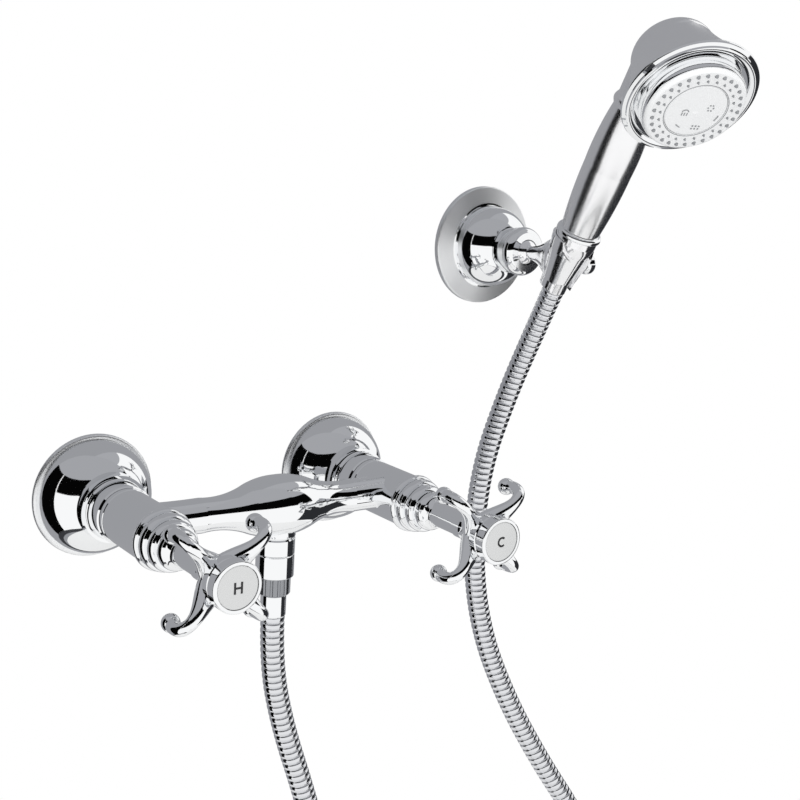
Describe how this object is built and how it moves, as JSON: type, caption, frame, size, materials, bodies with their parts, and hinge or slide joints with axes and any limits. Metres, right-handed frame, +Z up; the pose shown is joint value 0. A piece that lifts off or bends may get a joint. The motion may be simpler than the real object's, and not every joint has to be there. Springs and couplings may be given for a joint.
{
  "type": "shower mixer",
  "caption": "Wall-mounted exposed shower mixer with cross handles, a ribbed hose, a wall bracket with a swivelling holder, and a handset with a round multi-spray head.",
  "frame": {"origin": "on the wall, midway between the two water inlets", "axes": "+X to the right along the bar, +Y into the wall, +Z up"},
  "size_m": [0.3652, 0.2206, 0.7634],
  "materials": {
    "chrome": "mirror-polished chrome plate",
    "fluted_chrome": "chrome plate, fluted",
    "hose_chrome": "bright interlocked metal hose",
    "brass": "machined brass",
    "steel": "stainless steel",
    "rubber": "black rubber",
    "ceramic": "polished ceramic",
    "nylon": "natural nylon",
    "white_enamel": "white enamel",
    "white_plastic": "white moulded plastic",
    "nozzle_silicone": "grey silicone",
    "inner_plastic": "moulded plastic"
  },
  "bodies": {
    "mixer": {"inlet_connector_hot": "chrome", "inlet_flange_hot": "chrome", "union_nut_hot": "chrome", "inlet_washer_hot": "rubber", "valve_seal_hot": "rubber", "fixed_disc_hot": "ceramic", "valve_body_hot": "brass", "bonnet_hot": "chrome", "inlet_connector_cold": "chrome", "inlet_flange_cold": "chrome", "union_nut_cold": "chrome", "inlet_washer_cold": "rubber", "valve_seal_cold": "rubber", "fixed_disc_cold": "ceramic", "valve_body_cold": "brass", "bonnet_cold": "chrome", "mixer_body": "chrome", "outlet_nipple": "chrome", "hose_washer": "rubber", "hose_tail_lower": "brass", "hose_ferrule": "chrome", "shower_hose": "hose_chrome", "bracket_plate": "steel", "bracket_screws": "steel", "bracket_cover": "chrome", "bracket_neck": "brass", "bracket_collar": "chrome"},
    "hot_handle": {"cross_handle_hot": "chrome", "handle_screw_hot": "steel", "index_disc_hot": "white_enamel", "spindle_hot": "brass", "turning_disc_hot": "ceramic"},
    "cold_handle": {"cross_handle_cold": "chrome", "handle_screw_cold": "steel", "index_disc_cold": "white_enamel", "spindle_cold": "brass", "turning_disc_cold": "ceramic"},
    "hose_nut": {"hose_nut": "chrome", "nut_grip": "fluted_chrome"},
    "ball_seat": {"ball_seat": "nylon"},
    "holder": {"handset_holder": "chrome"},
    "clamp_knob": {"clamp_knob": "chrome"},
    "hose_end": {"hose_tail_upper": "brass"},
    "handset": {"hose_cone": "chrome", "cone_washer": "rubber", "handle_nipple": "brass", "foot_ring": "chrome", "handset_handle": "chrome", "neck_ring": "chrome", "water_tube": "inner_plastic", "tube_bush": "rubber", "head_bell": "chrome", "bezel_ring": "chrome", "spray_plate": "white_plastic", "nozzle_mat": "nozzle_silicone", "water_plate": "inner_plastic", "head_gasket": "rubber"},
    "spray_selector": {"selector_disc": "white_plastic", "mode_disc": "inner_plastic"}
  },
  "joints": [
    {"name": "hot_valve", "type": "hinge", "parent": "mixer", "child": "hot_handle", "pos_m": [-0.075, -0.14, 0], "axis": [0, -1, 0], "range_deg": [0, 90]},
    {"name": "cold_valve", "type": "hinge", "parent": "mixer", "child": "cold_handle", "pos_m": [0.075, -0.14, 0], "axis": [0, -1, 0], "range_deg": [-90, 0]},
    {"name": "hose_nut_turn", "type": "hinge", "parent": "mixer", "child": "hose_nut", "pos_m": [0, -0.0663, -0.03], "axis": [0, 0, 1], "continuous": true},
    {"name": "holder_swivel", "type": "hinge", "parent": "mixer", "child": "ball_seat", "pos_m": [0.18, -0.041, 0.132], "axis": [0, -1, 0], "range_deg": [-90, 90], "deforming": ["shower_hose"]},
    {"name": "holder_tilt", "type": "hinge", "parent": "ball_seat", "child": "holder", "pos_m": [0.18, -0.041, 0.132], "axis": [1, 0, 0], "range_deg": [-20, 20], "deforming": ["shower_hose"]},
    {"name": "clamp_knob_turn", "type": "hinge", "parent": "holder", "child": "clamp_knob", "pos_m": [0.18, -0.07763, 0.12871], "axis": [1, 0, 0], "range_deg": [-180, 180]},
    {"name": "handset_lift", "type": "slide", "parent": "holder", "child": "hose_end", "axis": [0, -0.4462, 0.8949], "range_m": [0, 0.045], "deforming": ["shower_hose"]},
    {"name": "handset_turn", "type": "hinge", "parent": "hose_end", "child": "handset", "pos_m": [0.18, -0.087, 0.1475], "axis": [0, -0.4462, 0.8949], "continuous": true},
    {"name": "spray_select", "type": "hinge", "parent": "handset", "child": "spray_selector", "pos_m": [0.16654, -0.17791, 0.21727], "axis": [-0.2475, -0.6962, -0.6738], "range_deg": [0, 120]}
  ]
}
